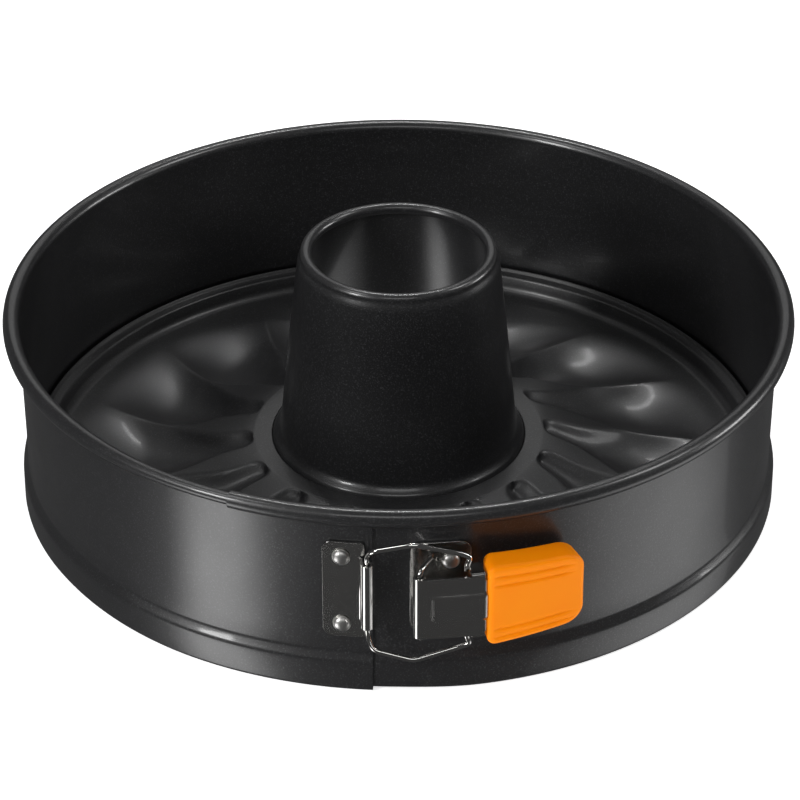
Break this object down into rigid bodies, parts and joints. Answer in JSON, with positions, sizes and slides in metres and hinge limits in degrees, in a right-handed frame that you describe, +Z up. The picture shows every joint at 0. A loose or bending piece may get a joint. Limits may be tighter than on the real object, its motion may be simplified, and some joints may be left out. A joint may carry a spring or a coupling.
{
  "type": "springform tube pan",
  "caption": "Round springform baking pan with a fluted removable base, a hollow centre tube and an over-centre wire clasp with a soft grip.",
  "frame": {"origin": "under the middle of the whole pan's bounding box, on the surface it stands on", "axes": "+Z up along the ring's axis, -Y towards the clasp at the front, +X to the right where the grip points"},
  "size_m": [0.271, 0.2792, 0.0903],
  "materials": {
    "ring_band": "satin dark non-stick coating on steel",
    "base_plate": "satin dark non-stick coating on steel",
    "tube": "satin dark non-stick coating on steel",
    "catch_plate": "bright plated steel",
    "catch_rivet_upper": "bright plated steel",
    "catch_rivet_lower": "bright plated steel",
    "bail_wire": "bright plated steel",
    "lever_arm": "bright plated steel",
    "grip": "matte orange silicone",
    "pivot_wire": "bright plated steel",
    "lever_bracket": "bright plated steel",
    "bracket_rivet_upper": "bright plated steel",
    "bracket_rivet_lower": "bright plated steel"
  },
  "bodies": {
    "ring": {"ring_band": "ring_band", "lever_bracket": "lever_bracket", "bracket_rivet_upper": "bracket_rivet_upper", "bracket_rivet_lower": "bracket_rivet_lower", "pivot_wire": "pivot_wire"},
    "base": {"base_plate": "base_plate", "tube": "tube"},
    "lever": {"lever_arm": "lever_arm", "grip": "grip"},
    "catch_end": {"catch_plate": "catch_plate", "catch_rivet_upper": "catch_rivet_upper", "catch_rivet_lower": "catch_rivet_lower"},
    "bail": {"bail_wire": "bail_wire"}
  },
  "joints": [
    {"name": "base_lift", "type": "slide", "parent": "ring", "child": "base", "axis": [0, 0, 1], "range_m": [0, 0.085]},
    {"name": "lever_swing", "type": "hinge", "parent": "ring", "child": "lever", "pos_m": [0.0066, -0.13704, 0.04], "axis": [0, 0, -1], "range_deg": [0, 140]},
    {"name": "band_spread", "type": "hinge", "parent": "ring", "child": "catch_end", "pos_m": [0, 0.13413, 0.04], "axis": [0, 0, -1], "range_deg": [0, 3.85], "deforming": ["ring_band"]},
    {"name": "bail_swing", "type": "hinge", "parent": "catch_end", "child": "bail", "pos_m": [-0.0099, -0.13114, 0.04], "axis": [0, 0, -1], "range_deg": [0, 29.6]}
  ],
  "couplings": [
    {"joint": "band_spread", "follows": "lever_swing", "ratio": 0.027442},
    {"joint": "bail_swing", "follows": "lever_swing", "ratio": 0.21066}
  ]
}
